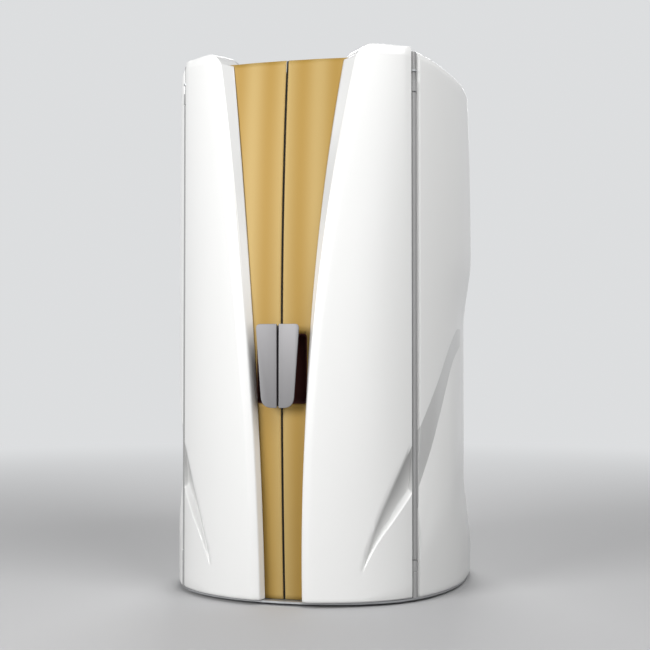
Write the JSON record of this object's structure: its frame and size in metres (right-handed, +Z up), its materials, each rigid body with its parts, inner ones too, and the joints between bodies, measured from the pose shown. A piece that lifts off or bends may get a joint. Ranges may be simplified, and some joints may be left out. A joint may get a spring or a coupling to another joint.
{
  "type": "vertical tanning booth",
  "caption": "Stand-up tanning booth: glossy white shells, gold double doors that swing out, lamp-lined cabin behind clear screens, control column and roof exhaust fan.",
  "frame": {"origin": "middle of the footprint, on the floor", "axes": "+X to the right seen from the front, the doors face -Y, +Z up"},
  "size_m": [1.2754, 1.432, 2.25],
  "materials": {
    "white_shell": "glossy moulded white",
    "white_panel": "satin moulded white",
    "gold_leaf": "satin gold anodised",
    "satin_metal": "satin brushed",
    "grey_post": "satin grey paint",
    "steel_sheet": "zinc grey",
    "grey_metal": "grey enamel",
    "mirror_sheet": "bright rolled reflector",
    "lamp_glass": "phosphor coated tube",
    "clear_screen": "clear acrylic",
    "dark_cup": "dark brown moulded",
    "black_rubber": "matt rubber",
    "grey_plastic": "fine grained",
    "black_plastic": "fine grained",
    "display_glass": "gloss black window",
    "green_button": "satin coloured",
    "red_button": "satin coloured"
  },
  "bodies": {
    "cabinet": {"base_plate": "steel_sheet", "foot_pad_front_right": "black_rubber", "foot_pad_rear_right": "black_rubber", "foot_pad_rear_left": "black_rubber", "foot_pad_front_left": "black_rubber", "platform": "grey_plastic", "floor_mat": "black_rubber", "rear_shell": "white_shell", "service_panel": "white_shell", "roof_plate": "steel_sheet", "ceiling_panel": "white_panel", "control_column": "white_panel", "display_window": "display_glass", "speaker_grille": "grey_plastic", "air_nozzle": "grey_plastic", "fan_shroud": "steel_sheet", "fan_motor": "grey_metal", "fan_guard": "satin_metal", "gear_panel": "steel_sheet", "control_box": "grey_plastic", "cable_gland": "black_plastic", "hinge_post_right": "grey_post", "hinge_post_left": "grey_post", "side_shell_right": "white_shell", "side_shell_left": "white_shell", "rear_upright_right": "steel_sheet", "rear_upright_left": "steel_sheet", "hand_grip_right": "satin_metal", "hand_grip_left": "satin_metal", "side_reflector_right": "mirror_sheet", "side_reflector_left": "mirror_sheet", "side_lamp_bank_right": "lamp_glass", "side_lamp_bank_left": "lamp_glass", "side_screen_right": "clear_screen", "side_screen_left": "clear_screen", "ballasts_right": "grey_metal", "ballasts_left": "grey_metal"},
    "left_door": {"door_shell_left": "white_shell", "door_leaf_left": "gold_leaf", "seam_seal_left": "black_rubber", "door_frame_left": "steel_sheet", "door_reflector_left": "mirror_sheet", "door_lamp_bank_left": "lamp_glass", "door_screen_left": "clear_screen", "door_handle_left": "satin_metal", "grip_cup_left": "dark_cup"},
    "right_door": {"door_shell_right": "white_shell", "door_leaf_right": "gold_leaf", "seam_seal_right": "black_rubber", "door_frame_right": "steel_sheet", "door_reflector_right": "mirror_sheet", "door_lamp_bank_right": "lamp_glass", "door_screen_right": "clear_screen", "door_handle_right": "satin_metal", "grip_cup_right": "dark_cup"},
    "fan_rotor": {"fan_rotor": "black_plastic"},
    "start_button": {"start_button": "green_button"},
    "stop_button": {"stop_button": "red_button"},
    "fan_slower_button": {"fan_slower_button": "grey_plastic"},
    "fan_faster_button": {"fan_faster_button": "grey_plastic"}
  },
  "joints": [
    {"name": "right_door_hinge", "type": "hinge", "parent": "cabinet", "child": "right_door", "pos_m": [0.49001, -0.44192, 0], "axis": [0, 0, 1], "range_deg": [0, 95]},
    {"name": "left_door_hinge", "type": "hinge", "parent": "cabinet", "child": "left_door", "pos_m": [-0.49001, -0.44192, 0], "axis": [0, 0, -1], "range_deg": [0, 95]},
    {"name": "exhaust_fan_spin", "type": "hinge", "parent": "cabinet", "child": "fan_rotor", "pos_m": [0, 0, 2.2], "axis": [0, 0, 1], "continuous": true},
    {"name": "start_button_press", "type": "slide", "parent": "cabinet", "child": "start_button", "axis": [0, 1, 0], "range_m": [0, 0.003], "stiffness_N_per_m": 400},
    {"name": "stop_button_press", "type": "slide", "parent": "cabinet", "child": "stop_button", "axis": [0, 1, 0], "range_m": [0, 0.003], "stiffness_N_per_m": 400},
    {"name": "fan_slower_button_press", "type": "slide", "parent": "cabinet", "child": "fan_slower_button", "axis": [0, 1, 0], "range_m": [0, 0.003], "stiffness_N_per_m": 400},
    {"name": "fan_faster_button_press", "type": "slide", "parent": "cabinet", "child": "fan_faster_button", "axis": [0, 1, 0], "range_m": [0, 0.003], "stiffness_N_per_m": 400}
  ]
}
